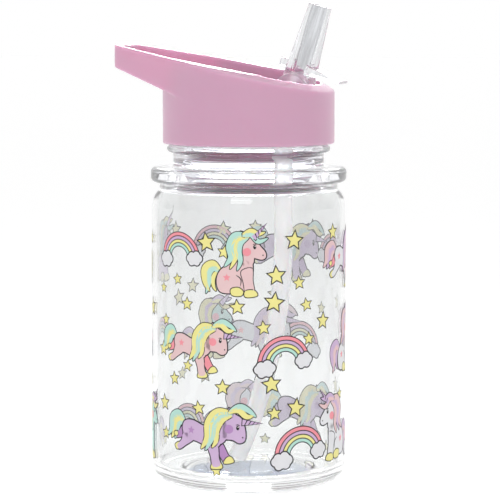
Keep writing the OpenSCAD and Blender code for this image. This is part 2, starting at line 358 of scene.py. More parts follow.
def repeat_tree(parts):
    """Geometry nodes: stand a motif on each point of a flat layout, wrap it round Z, set its materials.

    In the layout x runs round, y goes in towards the axis and z goes up."""
    tree = bpy.data.node_groups.new("repeat_round_axis", "GeometryNodeTree")
    given = [("Layout", "Geometry"), ("Motif", "Object"), ("Radius", "Float"), ("Start angle", "Float"),
             ("Climb a radian", "Float")] + [(f"Material {k}", "Material") for k in parts]
    for label, kind in given:
        tree.interface.new_socket(label, in_out="INPUT", socket_type="NodeSocket" + kind)
    tree.interface.new_socket("Geometry", in_out="OUTPUT", socket_type="NodeSocketGeometry")
    start = add(tree, "NodeGroupInput")
    motif = add(tree, "GeometryNodeObjectInfo", {}, {"Object": (start, "Motif")})
    turn, share, part = (add(tree, "GeometryNodeInputNamedAttribute", {"data_type": kind, "Name": name})
                         for kind, name in (("FLOAT", "turn"), ("FLOAT", "share"), ("INT", "part")))
    lean = add(tree, "ShaderNodeCombineXYZ", {}, {"Y": (turn, 0)})
    stood = add(tree, "GeometryNodeInstanceOnPoints", {},
                {"Points": (start, "Layout"), "Instance": (motif, "Geometry"), "Rotation": (lean, "Vector"),
                 "Scale": (share, 0)})
    real = add(tree, "GeometryNodeRealizeInstances", {}, {"Geometry": (stood, "Instances")})
    here = add(tree, "GeometryNodeInputPosition")
    flat = add(tree, "ShaderNodeSeparateXYZ", {}, {"Vector": (here, "Position")})

    def worked_out(operation, *terms):
        return add(tree, "ShaderNodeMath", {"operation": operation}, dict(enumerate(terms))), "Value"

    swept = worked_out("DIVIDE", (flat, "X"), (start, "Radius"))
    angle = worked_out("ADD", swept, (start, "Start angle"))
    reach = worked_out("SUBTRACT", (start, "Radius"), (flat, "Y"))
    x = worked_out("MULTIPLY", worked_out("COSINE", angle), reach)
    y = worked_out("MULTIPLY", worked_out("SINE", angle), reach)
    z = worked_out("MULTIPLY_ADD", swept, (start, "Climb a radian"), (flat, "Z"))
    place = add(tree, "ShaderNodeCombineXYZ", {}, {"X": x, "Y": y, "Z": z})
    last = add(tree, "GeometryNodeSetPosition", {},
               {"Geometry": (real, "Geometry"), "Position": (place, "Vector")})
    for k in parts:
        chosen = add(tree, "FunctionNodeCompare", {"data_type": "INT", "operation": "EQUAL"})
        ends = [s for s in chosen.inputs if s.type == "INT"]
        tree.links.new(part.outputs[0], ends[0])
        ends[1].default_value = k
        last = add(tree, "GeometryNodeSetMaterial", {},
                   {"Geometry": (last, "Geometry"), "Selection": (chosen, 0),
                    "Material": (start, f"Material {k}")})
    add(tree, "NodeGroupOutput", {}, {"Geometry": (last, "Geometry")})
    return tree


def repeated(name, points, motif, radius, start_deg, climb, materials):
    """A piece with the motif at each (x, y, z, scale, turn in degrees) of a layout, wrapped round Z."""
    obj = mesh_object(name, [p[:3] for p in points], [], [])
    for label, values in (("share", [p[3] for p in points]), ("turn", [-math.radians(p[4]) for p in points])):
        obj.data.attributes.new(label, "FLOAT", "POINT").data.foreach_set("value", values)
    mod = obj.modifiers.new("repeat", "NODES")
    tree = repeat_tree(list(materials))
    mod.node_group = tree
    given = {f"Material {k}": mat for k, mat in materials.items()}
    given.update({"Motif": motif, "Radius": radius, "Start angle": math.radians(start_deg),
                  "Climb a radian": climb})
    for item in tree.interface.items_tree:
        if item.in_out == "INPUT" and item.name in given:
            mod[item.identifier] = given[item.name]
    applied(obj)
    bpy.data.objects.remove(motif)
    return obj


# ---- settings ----

class BottleSizes(bpy.types.PropertyGroup):
    wall: bpy.props.FloatProperty(name="Wall", description="Wall thickness of the barrel",
                                  default=1.8 * MM, unit="LENGTH")
    base_corner: bpy.props.FloatProperty(name="Base corner", description="Radius at the base's edge",
                                         default=5 * MM, unit="LENGTH")
    thread_pitch: bpy.props.FloatProperty(name="Thread pitch", description="Rise of the thread in one turn",
                                          default=4 * MM, unit="LENGTH")
    thread_depth: bpy.props.FloatProperty(name="Thread depth", description="How far the thread stands out",
                                          default=1.4 * MM, unit="LENGTH")
    facets: bpy.props.IntProperty(name="Segments round", description="Segments round the barrel",
                                  default=192, min=48)
    lid_voxel: bpy.props.FloatProperty(name="Lid detail", description="Mesh size of the moulded lid",
                                       default=0.49 * MM, unit="LENGTH")
    spout_voxel: bpy.props.FloatProperty(name="Spout detail", description="Mesh size of the moulded spout",
                                         default=0.22 * MM, unit="LENGTH")


class PrintSizes(bpy.types.PropertyGroup):
    outline: bpy.props.FloatProperty(name="Outline", description="Width of the dark outline",
                                     default=0.44 * MM, unit="LENGTH")
    star: bpy.props.FloatProperty(name="Star", description="Radius of a large star to its points",
                                  default=3.3 * MM, unit="LENGTH")


class BottleColours(bpy.types.PropertyGroup):
    bottle: bpy.props.StringProperty(name="Bottle", description="Tint of the clear bottle, sRGB hex",
                                     default="f2f3f3")
    # the base's darker tint is mostly painted shade; the ring's tint, lighter than the bottle's, is painted
    # light
    base: bpy.props.StringProperty(name="Base", description="Tint of the thick base, sRGB hex",
                                   default="aebcd8")
    ring: bpy.props.StringProperty(name="Ring", description="Tint of the ring and neck, sRGB hex",
                                   default="fafbfe")
    spout: bpy.props.StringProperty(name="Spout", description="Tint of the clear spout, sRGB hex",
                                    default="f2f3f5")
    lid: bpy.props.StringProperty(name="Lid", description="Pink of the lid, sRGB hex", default="cda3ba")
    straw: bpy.props.StringProperty(name="Straw", description="Milky white of the straw, sRGB hex",
                                    default="eaebec")
    floor: bpy.props.StringProperty(name="Floor", description="Floor paper, sRGB hex", default="cfcfcf")


def sizes():
    """The sizes that the panel shows."""
    return bpy.context.scene.bottle_sizes


def prints():
    """The print's sizes that the panel shows."""
    return bpy.context.scene.bottle_prints


def colours():
    """The colours that the panel shows."""
    return bpy.context.scene.bottle_colours


# ---- bottle ----

FINISH_R = 27.0     # mm, outside of the mouth under the thread
THREAD_LOW = 128.3  # mm, middle of the thread where it starts
THREAD_TURNS = 1.25
THREAD_STEPS = 90
LID_ROUNDS, SPOUT_ROUNDS = 5, 4     # rounds of smoothing that round their edges
# mm: how deep its foot is sunk, half its height at the foot and at the crest, the length of its faded ends
THREAD_SECTION = (0.3, 0.8, 0.35, 6)


def bottle_profile():
    """Outline of the bottle's section in mm, from the underside's middle round to the inside's middle."""
    c = sizes().base_corner / MM
    r = BARREL_R
    foot = r - c
    barrel_top, groove, ring_low, ring_top, bead_low, bead_top = 103.4, 109.8, 112.6, 118.3, 123.8, 126.6
    edge, bend, inner_bend = 1.9, 8.5, 9    # radii: the ring's edges, the shoulder outside and inside
    shoulder = math.degrees(math.asin((groove - barrel_top) / bend))
    inner = r - sizes().wall / MM
    points = [(0.0, 1.8), (10.0, 1.8), (20.0, 1.75), (22.2, 1.55), (24.0, 0.75), (25.4, 0.12), (26.4, 0.0)]
    points += arc(foot, c, c, -90, 0, 10)
    points += [(r, z) for z in (20, 40, 60, 80)]
    points += arc(r - bend, barrel_top, bend, 0, shoulder, 10)
    points += [(33.6, groove + 0.5), (33.6, ring_low - 0.3), (33.9, ring_low)]
    points += arc(RING_R - edge, ring_low + edge, edge, -90, 0, 8)
    points += arc(RING_R - edge, ring_top - edge, edge, 0, 90, 8)
    points += [(29.0, ring_top), (28.55, ring_top + 0.15), (28.4, ring_top + 0.6), (28.4, bead_low - 0.5),
               (28.6, bead_low - 0.1), (29.0, bead_low)]
    points += arc(29.4, (bead_low + bead_top) / 2, 1.4, -90, 90, 10)
    points += [(27.4, bead_top), (27.1, bead_top + 0.15), (27.0, bead_top + 0.5), (27.0, MOUTH_Z - 0.4)]
    points += arc(26.6, MOUTH_Z - 0.4, 0.4, 0, 90, 4)
    points += arc(24.6, MOUTH_Z - 0.4, 0.4, 90, 180, 4)
    points += [(24.2, 124.6), (24.4, 123.9), (25.2, 122.9), (25.6, 122.0), (25.6, 113.0)]
    points += arc(inner - inner_bend, barrel_top, inner_bend, 86, 0, 10)
    points += [(inner, z) for z in (80, 60, 40, 20)]
    points += arc(inner - 4, 8, 4, 0, -90, 8)
    points += [(24.0, 4.0), (12.0, 4.0), (0.0, 4.0)]
    return points


def lathe(name, profile, count, mat):
    """A closed turned piece: the profile in mm starts and ends on the axis."""
    verts = [(x * MM * math.cos(2 * math.pi * k / count), x * MM * math.sin(2 * math.pi * k / count), z * MM)
             for x, z in profile[1:-1] for k in range(count)]
    rows = len(profile) - 2
    faces = [(row + k, row + (k + 1) % count, row + count + (k + 1) % count, row + count + k)
             for row in range(0, (rows - 1) * count, count) for k in range(count)]
    low, high = len(verts), len(verts) + 1
    verts += [(0, 0, profile[0][1] * MM), (0, 0, profile[-1][1] * MM)]
    faces += [(low, (k + 1) % count, k) for k in range(count)]
    top = (rows - 1) * count
    faces += [(high, top + k, top + (k + 1) % count) for k in range(count)]
    return mesh_object(name, verts, faces, [mat])


class MakeBottle(bpy.types.Operator):
    """Turn the clear bottle: push-up base, barrel, shoulder, ring, bead and mouth"""
    bl_idname = "kids_bottle.bottle"
    bl_label = "Bottle"

    def execute(self, context):
        shell = lathe("bottle_shell", bottle_profile(), sizes().facets, tritan_clear())
        face_outward(shell)
        # the underside's hollow takes a darker tint of painted shade, the ring and neck a lighter tint of
        # painted light
        shell.data.materials.append(tritan_thick_painted_tint("base", colours().base))
        shell.data.materials.append(tritan_thick_painted_tint("ring", colours().ring))
        for face in shell.data.polygons:
            hollow = face.center.z < HOLLOW_TOP * MM and face.center.xy.length < HOLLOW_R * MM
            face.material_index = 1 if hollow else 2 if face.center.z > RING_LOW * MM else 0
        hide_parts("bottle_body")
        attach(shell, "bottle")
        return {"FINISHED"}


class MakeThread(bpy.types.Operator):
    """Wind the screw thread round the bottle's mouth"""
    bl_idname = "kids_bottle.thread"
    bl_label = "Thread"

    def execute(self, context):
        size = sizes()
        root, crest, rise = FINISH_R * MM, size.thread_depth, size.thread_pitch
        length = 2 * math.pi * root * THREAD_TURNS
        sunk, foot, top, fade = (v * MM for v in THREAD_SECTION)
        verts, faces = [], []
        for i in range(THREAD_STEPS + 1):
            x = length * i / THREAD_STEPS
            out = crest * min(1.0, 0.05 + min(x, length - x) / fade)
            verts += [(x, sunk, -foot), (x, -out, -top), (x, -out, top), (x, sunk, foot)]
        for i in range(THREAD_STEPS):
            for k in range(4):
                faces.append((4 * i + k, 4 * i + (k + 1) % 4, 4 * i + 4 + (k + 1) % 4, 4 * i + 4 + k))
        faces += [(3, 2, 1, 0), tuple(4 * THREAD_STEPS + k for k in range(4))]
        bar = mesh_object("thread_bar", verts, faces, [], smooth=False)
        face_outward(bar)
        bar.data.attributes.new("part", "INT", "FACE")
        thread = repeated("finish_thread", [(0, 0, THREAD_LOW * MM, 1.0, 0.0)], bar, root, 0.0,
                          rise / (2 * math.pi), {0: bpy.data.materials["tritan_clear_moulded"]})
        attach(thread, "bottle")
        return {"FINISHED"}


# ---- lid, spout, straw and seals ----

class MakeLid(bpy.types.Operator):
    """Mould the pink lid with its loop, recess and ears"""
    bl_idname = "kids_bottle.lid"
    bl_label = "Lid"

    def execute(self, context):
        lid = moulded_copy("lid_cap", "lid_shell", sizes().lid_voxel, LID_ROUNDS, polypropylene_pink())
        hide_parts("lid_cap")
        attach(lid, "lid")
        return {"FINISHED"}


class MakeSpout(bpy.types.Operator):
    """Mould the clear spout with its barrel, tab and heel"""
    bl_idname = "kids_bottle.spout"
    bl_label = "Spout"

    def execute(self, context):
        spout = moulded_copy("spout", "spout_shell", sizes().spout_voxel, SPOUT_ROUNDS, san_clear())
        spout.data.materials.append(san_satin())
        joints = frame["record"]["behaviour"]["joints"]
        pivot = Vector(next(j["pos_m"] for j in joints if j["name"] == "spout_flip"))
        for face in spout.data.polygons:
            away = face.center - pivot
            face.material_index = int(math.hypot(away.x, away.z) < HUB_R * MM)
        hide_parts("spout")
        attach(spout, "spout")
        return {"FINISHED"}


class FinishInsides(bpy.types.Operator):
    """Give the straw and the silicone pieces their materials"""
    bl_idname = "kids_bottle.insides"
    bl_label = "Straw and seals"

    def execute(self, context):
        cover(frame["nodes"]["straw"], polyethylene_milky())
        silicone = silicone_white()
        for node in ("lid_gasket", "spout_seal", "vent_valve"):
            cover(frame["nodes"][node], silicone)
        return {"FINISHED"}


# ---- print: flat shapes in mm, wrapped round the barrel ----

LEVEL = 0.012       # mm between one ink layer and the next
PRINT_GAP = 0.1     # mm from the wall to the middle of the print
STEP = 1.6          # mm, widest strip that may stay flat


def between(p0, p1, p2, p3, t):
    """The point at share t of the smooth curve from p1 to p2, which p0 and p3 lead on to."""
    return tuple(0.5 * (2 * b + (c - a) * t + (2 * a - 5 * b + 4 * c - d) * t * t
                        + (3 * b - a - 3 * c + d) * t ** 3) for a, b, c, d in zip(p0, p1, p2, p3))


def closed_curve(points, per=6):
    """A smooth closed outline through the points."""
    n = len(points)
    return [between(*(points[(i + k - 1) % n] for k in range(4)), j / per)
            for i in range(n) for j in range(per)]


def grown(poly, d):
    """The outline moved outward by d."""
    n = len(poly)
    area = sum(poly[i - 1][0] * poly[i][1] - poly[i][0] * poly[i - 1][1] for i in range(n))
    sign = 1 if area > 0 else -1
    out = []
    for i in range(n):
        (ax, ay), (bx, by), (cx, cy) = poly[i - 1], poly[i], poly[(i + 1) % n]
        d1, d2 = Vector((bx - ax, by - ay)), Vector((cx - bx, cy - by))
        if d1.length < 1e-9 or d2.length < 1e-9:
            out.append((bx, by))
            continue
        d1.normalize()
        d2.normalize()
        normal = Vector((d1.y + d2.y, -d1.x - d2.x)) * sign
        if normal.length < 1e-6:
            out.append((bx, by))
            continue
        normal.normalize()
        spread = max(0.5, normal.dot(Vector((d1.y, -d1.x)) * sign))
        out.append((bx + normal.x * d / spread, by + normal.y * d / spread))
    return out


def circle(cx, cy, r, n=28):
    """Round outline."""
    return ellipse(cx, cy, r, r, n)


def ellipse(cx, cy, rx, ry, n=32):
    """Upright oval outline."""
    turns = (2 * math.pi * k / n for k in range(n))
    return [(cx + rx * math.cos(t), cy + ry * math.sin(t)) for t in turns]


def band(r0, r1, a0, a1, n=30):
    """Half ring between two radii, as an outline."""
    return arc(0, 0, r1, a0, a1, n) + arc(0, 0, r0, a1, a0, n)


def star_outline(r, cx=0.0, cy=0.0, turn=90.0, waist=0.46):
    """Five-pointed star."""
    return [polar(r * waist if k % 2 else r, turn + 36 * k, cx, cy) for k in range(10)]


class Print:
    """Collects flat shapes as thin shells of ink, and wraps them round the barrel unless they stay flat."""

    def __init__(self, flat=False):
        self.flat = flat
        self.verts, self.faces, self.inks = [], [], []

    def shape(self, outline, ink, level, place):
        """One filled outline: ink on its outer face, the dull back of that ink on its inner face."""
        s0, z0, turn, scale, flip = place
        c, s = math.cos(math.radians(turn)) * scale, math.sin(math.radians(turn)) * scale
        flat = []
        for x, y in outline:
            x = -x if flip else x
            flat.append((s0 + x * c - y * s, z0 + x * s + y * c))
        bm = bmesh.new()
        face = bm.faces.new([bm.verts.new((x, y, 0)) for x, y in flat])
        face.normal_update()
        if face.normal.z < 0:
            face.normal_flip()
        bmesh.ops.triangulate(bm, faces=bm.faces)
        low, high = min(x for x, _ in flat), max(x for x, _ in flat)
        cut = math.ceil(low / STEP) * STEP
        while cut < high:
            bmesh.ops.bisect_plane(bm, geom=bm.verts[:] + bm.edges[:] + bm.faces[:], plane_co=(cut, 0, 0),
                                   plane_no=(1, 0, 0), dist=1e-5)
            cut += STEP
        bmesh.ops.remove_doubles(bm, verts=bm.verts, dist=1e-5)
        bm.verts.index_update()
        base, n = len(self.verts), len(bm.verts)
        for side in (1, -1):
            out = side * LEVEL * (level + 1)
            r = BARREL_R + PRINT_GAP + out
            for v in bm.verts:
                a = v.co.x / BARREL_R + math.radians(FRONT - 90)
                self.verts.append((v.co.x * MM, -out * MM, v.co.y * MM) if self.flat else
                                  (r * math.cos(a) * MM, r * math.sin(a) * MM, v.co.y * MM))
        front = INK_NAMES.index(ink)
        back = front + len(INK_NAMES)
        for f in bm.faces:
            ids = [v.index for v in f.verts]
            self.faces.append([base + i for i in ids])
            self.inks.append(front)
            self.faces.append([base + n + i for i in reversed(ids)])
            self.inks.append(back)
        for e in bm.edges:
            if len(e.link_faces) == 1:
                loop = next(lp for lp in e.link_faces[0].loops if lp.edge == e)
                a, b = loop.vert.index, loop.link_loop_next.vert.index
                self.faces.append([base + b, base + a, base + n + a, base + n + b])
                self.inks.append(front)
        bm.free()

    def group(self, outlines, ink, level, place, line=None):
        """Filled outlines that join into one silhouette with a dark edge round it."""
        edge = prints().outline / MM if line is None else line
        for outline in outlines:
            if edge > 0:
                self.shape(grown(outline, edge), "line", level, place)
            self.shape(outline, ink, level + 1, place)

    def piece(self, name):
        """The collected shells as one piece on the bottle."""
        obj = mesh_object(name, self.verts, self.faces, ink_set(), self.inks, smooth=False)
        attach(obj, "bottle")
        return obj


# ---- the motifs ----

def cloud(cx, cy, size):
    """Puffs of a small cloud."""
    puffs = ((0, 0, 2.3), (-2.2, 0.3, 1.5), (2.2, 0.2, 1.6), (-1.2, 1.3, 1.5), (1.1, 1.5, 1.6),
             (-1.3, -1.2, 1.4), (1.2, -1.2, 1.4))
    return [circle(cx + x * size, cy + y * size, r * size, 20) for x, y, r in puffs]


def rainbow(out, place):
    """Four bands with a cloud on each foot."""
    out.shape(band(4.3, 10.0, 2, 178), "line", 0, place)
    bands = ((8.55, 9.65, "rose"), (7.25, 8.2, "lilac"), (5.95, 6.9, "yellow"), (4.65, 5.6, "mint"))
    for r0, r1, ink in bands:
        out.shape(band(r0, r1, 2, 178), ink, 1, place)
    out.group(cloud(-7.4, -0.6, 1.0), "white", 2, place)
    out.group(cloud(7.4, -0.2, 0.92), "white", 2, place)


def strand(points, width, per=7):
    """A lock of hair: a smooth line through the points, thick in its middle and pointed at its ends."""
    ends = [points[0], *points, points[-1]]
    line = []
    for i in range(len(points) - 1):
        for j in range(per + (i == len(points) - 2)):
            line.append(between(*ends[i:i + 4], j / per))
    left, right = [], []
    last = len(line) - 1
    for k, (x, y) in enumerate(line):
        ahead, behind = line[min(k + 1, last)], line[max(k - 1, 0)]
        along = Vector((ahead[0] - behind[0], ahead[1] - behind[1])).normalized()
        half = width / 2 * max(0.06, math.sin(math.pi * (0.06 + 0.94 * k / last)) ** 0.7)
        left.append((x - along.y * half, y + along.x * half))
        right.append((x + along.y * half, y - along.x * half))
    return left + right[::-1]


def hair(out, place, level, locks, fine=0.3):
    """Locks of hair, each over the one before."""
    for ink, width, *points in locks:
        out.group([strand(points, width)], ink, level, place, fine)


def horn(out, place, level, base, tip, width):
    """A ringed horn from the middle of its base to its tip."""
    along = Vector(tip) - Vector(base)
    across = Vector((-along.y, along.x)).normalized() * width / 2

    def at(t, side):
        return tuple(Vector(base) + along * t + across * side * (1 - t))

    out.group([[at(0, -1), at(1, 0), at(0, 1)]], "lilac", level, place, 0.3)
    for k in range(4):
        t = 0.1 + 0.2 * k
        out.shape([at(t, -1), at(t + 0.05, -1), at(t + 0.17, 1), at(t + 0.11, 1)], "line", level + 1, place)


def face(out, place, eye, cheek, nose, mark):
    """Cheek, eye with its lash and glint, and nostril."""
    x, y = eye
    out.shape(circle(*cheek, 1.5), mark, 5, place)
    out.shape(ellipse(*eye, 0.55, 0.8), "line", 5, place)
    out.shape(circle(x + 0.15, y + 0.3, 0.2, 10), "cream", 6, place)
    out.shape(strand([(x - 0.7, y + 0.9), (x, y + 1.1), (x + 0.8, y + 0.7)], 0.3, 4), "line", 5, place)
    out.shape(circle(*nose, 0.26, 10), "line", 5, place)


def leaping(out, place, coat, mark, mane, accent):
    """A small horned horse in a leap, facing +X."""
    hind_far = closed_curve([(-9.2, 2.4), (-6.4, 0.4), (-9.4, -1.4), (-12.0, -2.2), (-12.4, -0.8),
                             (-10.9, 0.6)], 5)
    hind = closed_curve([(-8.4, 0.6), (-4.6, -1.6), (-7.8, -4.2), (-10.6, -6.0), (-11.8, -4.8),
                         (-9.8, -2.6)], 5)
    fore_far = closed_curve([(3.2, -1.4), (6.0, -1.8), (8.2, -5.4), (9.4, -7.4), (7.4, -8.6),
                             (5.2, -5.8)], 5)
    fore = closed_curve([(0.4, -1.8), (4.4, -2.6), (5.2, -7.0), (5.8, -9.6), (3.2, -10.2), (2.2, -6.6)], 5)
    body = closed_curve([(-9.4, 1.4), (-8.4, 4.2), (-5.0, 4.8), (-0.8, 3.4), (3.6, 2.6), (6.0, -0.4),
                         (4.6, -3.4),
                         (0.8, -3.4), (-3.4, -2.2), (-7.6, -1.6)])
    neck = closed_curve([(1.2, 2.6), (3.8, 6.0), (8.2, 5.4), (7.4, -0.6), (4.4, -2.2)], 5)
    head = closed_curve([(4.8, 3.4), (6.0, 6.8), (9.2, 8.2), (12.4, 7.0), (13.6, 4.2), (14.1, 1.4),
                         (13.8, -0.8),
                         (12.0, -1.6), (9.8, -0.6), (7.0, -0.4), (5.2, 1.0)])
    ear = closed_curve([(8.0, 7.2), (8.2, 10.2), (10.6, 7.8)], 4)
    hair(out, place, 0, (
        (accent, 2.6, (-8.4, 3.6), (-11.2, 6.4), (-14.6, 4.6), (-15.2, 0.4), (-17.0, -2.0)),
        (mane, 2.4, (-8.6, 3.2), (-11.0, 4.8), (-13.2, 3.0), (-13.6, -0.4), (-15.0, -2.6)),
        (accent, 1.8, (-8.6, 2.8), (-10.6, 3.2), (-11.8, 1.4), (-12.2, -1.2), (-13.2, -2.6))))
    for leg in (hind_far, fore_far):
        out.group([leg], mark, 1, place, 0.34)
    out.group([hind], coat, 2, place, 0.4)
    out.group([fore], coat, 2, place, 0.4)
    for hoof in ([(-12.6, -1.7), (-11.6, -0.9), (-12.2, 0.0), (-13.5, -0.6)],
                 [(-11.8, -6.2), (-10.2, -4.9), (-11.0, -3.6), (-12.9, -4.8)],
                 [(7.1, -8.9), (7.8, -7.0), (9.4, -6.4), (10.4, -8.2)],
                 [(2.6, -11.0), (3.2, -8.9), (5.7, -8.6), (6.4, -10.6)]):
        out.group([closed_curve(hoof, 4)], "yellow", 2, place, 0.32)
    out.group([body, neck, head, ear], coat, 3, place)
    out.group([fore, hind], coat, 3, place, 0)
    hair(out, place, 4, (
        (mane, 3.0, (9.2, 8.6), (4.4, 8.6), (1.2, 4.6), (0.8, -0.6), (-1.4, -4.6)),
        (accent, 2.6, (9.4, 8.2), (5.2, 7.4), (2.8, 3.8), (2.4, -0.6), (0.2, -5.0)),
        (mane, 2.0, (9.2, 7.6), (6.2, 6.0), (4.2, 2.6), (4.0, -1.4), (2.6, -3.8))))
    horn(out, place, 6, (12.9, 5.6), (19.4, 5.4), 2.0)
    hair(out, place, 5, (
        (accent, 1.9, (8.4, 9.2), (11.8, 11.0), (15.0, 9.6), (17.4, 7.6)),
        (mane, 2.0, (8.2, 8.6), (11.4, 9.6), (14.2, 7.6), (16.6, 8.0))))
    face(out, place, (11.4, 3.6), (8.4, 3.0), (13.2, 0.4), mark)
    out.shape(star_outline(1.5, -5.6, 1.3), mark, 5, place)


def sitting(out, place, coat, mark, mane, accent):
    """A small horned horse sitting, facing +X."""
    body = closed_curve([(-7.0, -9.6), (-8.4, -5.6), (-7.0, -1.8), (-3.4, 0.6), (1.0, 2.6), (4.4, 1.6),
                         (4.8, -3.0),
                         (3.6, -8.8), (-1.8, -10.0)])
    fore = closed_curve([(0.8, -2.0), (4.6, -1.0), (4.9, -5.4), (5.4, -10.0), (2.6, -10.4), (1.5, -6.0)], 5)
    neck = closed_curve([(-0.8, 0.4), (-0.2, 5.6), (4.6, 6.2), (4.8, 0.4)], 5)
    head = closed_curve([(-1.0, 6.4), (0.0, 9.6), (3.0, 11.0), (6.0, 10.0), (7.4, 7.4), (9.4, 5.0),
                         (9.6, 3.0),
                         (8.0, 2.2), (4.8, 3.0), (1.0, 3.4)])
    ear = closed_curve([(0.8, 9.6), (0.6, 12.4), (3.2, 10.8)], 4)
    hair(out, place, 0, (
        (mane, 2.6, (-6.6, -2.6), (-9.6, 0.6), (-13.0, -1.4), (-13.0, -6.0), (-11.2, -9.6)),
        (accent, 2.2, (-6.8, -3.2), (-9.4, -1.2), (-11.4, -3.2), (-11.4, -6.6), (-12.6, -10.4)),
        (mane, 1.6, (-7.0, -3.8), (-8.8, -3.0), (-9.8, -5.0), (-9.6, -7.6), (-8.6, -9.4))))
    out.group([body, neck, head, ear], coat, 2, place)
    out.group([fore], coat, 3, place, 0.32)
    out.shape(strand([(-1.2, -3.4), (0.6, -5.0), (0.4, -7.6)], 0.4, 5), "line", 3, place)
    for hoof in ([(2.0, -11.2), (2.3, -9.2), (5.4, -9.0), (6.6, -10.8), (4.2, -11.5)],
                 [(-2.6, -10.8), (-3.0, -8.6), (-0.4, -8.0), (1.4, -9.4), (0.6, -11.0)]):
        out.group([closed_curve(hoof, 4)], "yellow", 4, place, 0.34)
    hair(out, place, 4, (
        (accent, 2.8, (3.4, 11.2), (-1.4, 11.0), (-3.4, 7.2), (-3.0, 3.0), (-5.4, -0.4)),
        (mane, 2.3, (3.6, 10.6), (-0.4, 9.6), (-1.9, 6.4), (-1.4, 2.8), (-3.4, -1.2)),
        (accent, 2.2, (3.2, 10.2), (0.6, 8.2), (-0.2, 5.2), (0.4, 1.6), (-0.8, -1.8))))
    horn(out, place, 6, (5.2, 10.0), (9.8, 15.2), 2.0)
    hair(out, place, 5, (
        (mane, 1.6, (1.2, 11.4), (4.2, 12.8), (7.0, 11.6), (9.4, 12.2)),
        (accent, 1.9, (1.2, 10.9), (4.4, 11.2), (7.0, 8.8), (10.4, 10.0))))
    face(out, place, (5.6, 6.8), (2.8, 5.0), (8.6, 3.8), mark)
    out.shape(star_outline(1.5, -4.6, -4.4), mark, 5, place)


# each row: distance round the barrel in mm, height in mm, turn in degrees, scale, mirrored
RAINBOWS = (
    (-28.2, 86.2, 2, 0.98, False), (13.6, 48.0, 8, 1.06, False), (20.4, 13.8, 8, 1.1, False),
    (-100, 84, -4, 1.0, False), (-66, 50, -6, 1.0, False), (-86, 14, 6, 1.0, False),
    (60, 12, -5, 0.95, False),
    (72, 82, 6, 1.0, False), (92, 46, 4, 1.0, False),
)
# the same, then which pose and coat
HORSES = (
    (-3.4, 84.4, 0, 1.0, False, "sit", "pink"),
    (48.0, 84.5, 0, 1.0, False, "leap", "white"),
    (-21.6, 53.6, -2, 0.97, False, "leap", "pink"),
    (50.0, 53.0, 0, 1.0, False, "sit", "white"),
    (-16.4, 21.4, -2, 1.08, False, "leap", "lilac"),
    (39.5, 21.6, 0, 1.02, True, "sit", "white"),
    (-68, 85, 0, 1.0, True, "sit", "lilac"), (98, 84, 4, 1.1, True, "leap", "lilac"),
    (-98, 52, 0, 1.0, True, "sit", "mint"), (112, 50, 0, 1.05, True, "leap", "white"),
    (-54, 20, 0, 1.0, False, "sit", "mint"), (92, 20, 0, 1.1, True, "leap", "lilac"),
    (-110, 18, 0, 1.0, True, "sit", "white"),
)
COATS = {
    "pink": ("pink", "rose", "yellow", "mint"),
    "white": ("white", "rose", "lilac", "pink"),
    "lilac": ("lilac", "purple", "yellow", "mint"),
    "mint": ("mint", "rose", "lilac", "yellow"),
}
# distance round and height in mm, share of a large star's radius, turn in degrees
STARS = (
    (-15.9, 92.6, 1.0, 8), (-9.0, 89.2, 0.7, -10), (17.2, 93.3, 1.0, -6), (10.2, 80.6, 1.0, 4),
    (9.4, 70.8, 1.05, -8), (19.2, 77.6, 0.7, 6), (37.0, 95.2, 0.85, 2), (22.5, 69.4, 0.7, 12),
    (30.8, 62.8, 0.9, -4), (5.4, 61.6, 0.75, 6), (-24.2, 69.6, 0.7, 0), (-4.2, 69.2, 0.8, 5),
    (-29.0, 78.4, 0.6, 8), (-37.6, 74.6, 0.55, 0), (-36.0, 62.8, 0.6, 4), (-38.0, 51.8, 0.75, 0),
    (-24.0, 46.8, 0.6, -8), (-30.8, 41.4, 0.7, 6), (-9.6, 39.6, 0.8, 0), (-19.2, 31.4, 0.75, 10),
    (-37.2, 31.6, 0.85, 4), (-36.2, 20.4, 0.65, 0), (8.4, 40.8, 1.0, 6), (23.6, 56.8, 0.7, 0),
    (18.0, 31.6, 1.0, -8), (9.5, 30.0, 0.75, 4), (43.4, 34.0, 0.6, 0), (-12.0, 8.6, 0.6, 8),
    (-50, 66, 1.0, 10), (-56, 38, 0.8, 0), (-82, 66, 0.9, -6), (-84, 36, 0.7, 4), (-112, 68, 0.8, 0),
    (-70, 12, 0.7, 8), (-80, 93, 0.9, 4), (-52, 92, 0.7, 0), (64, 66, 0.9, 6), (80, 62, 0.7, 0),
    (66, 34, 0.9, -8), (78, 30, 0.7, 6), (58, 93, 0.8, 0), (86, 93, 1.0, 4), (104, 66, 0.8, -5),
    (110, 34, 0.9, 8), (112, 93, 0.7, 0), (-96, 34, 0.8, -4), (76, 8, 0.7, 0), (108, 8, 0.6, 5),
    (-90, 70, 0.8, 6), (-104, 92, 0.9, 6), (-60, 76, 0.7, 3), (96, 74, 0.7, 8), (62, 42, 0.6, 0),
)


class PrintRainbows(bpy.types.Operator):
    """Print the rainbows round the barrel"""
    bl_idname = "kids_bottle.rainbows"
    bl_label = "Rainbows"

    def execute(self, context):
        out = Print()
        for place in RAINBOWS:
            rainbow(out, place)
        out.piece("rainbow_print")
        return {"FINISHED"}


class PrintHorses(bpy.types.Operator):
    """Print the small horned horses round the barrel"""
    bl_idname = "kids_bottle.horses"
    bl_label = "Horned horses"

    def execute(self, context):
        out = Print()
        for *place, pose, coat in HORSES:
            draw = leaping if pose == "leap" else sitting
            draw(out, place, *COATS[coat])
        out.piece("horned_horse_print")
        return {"FINISHED"}


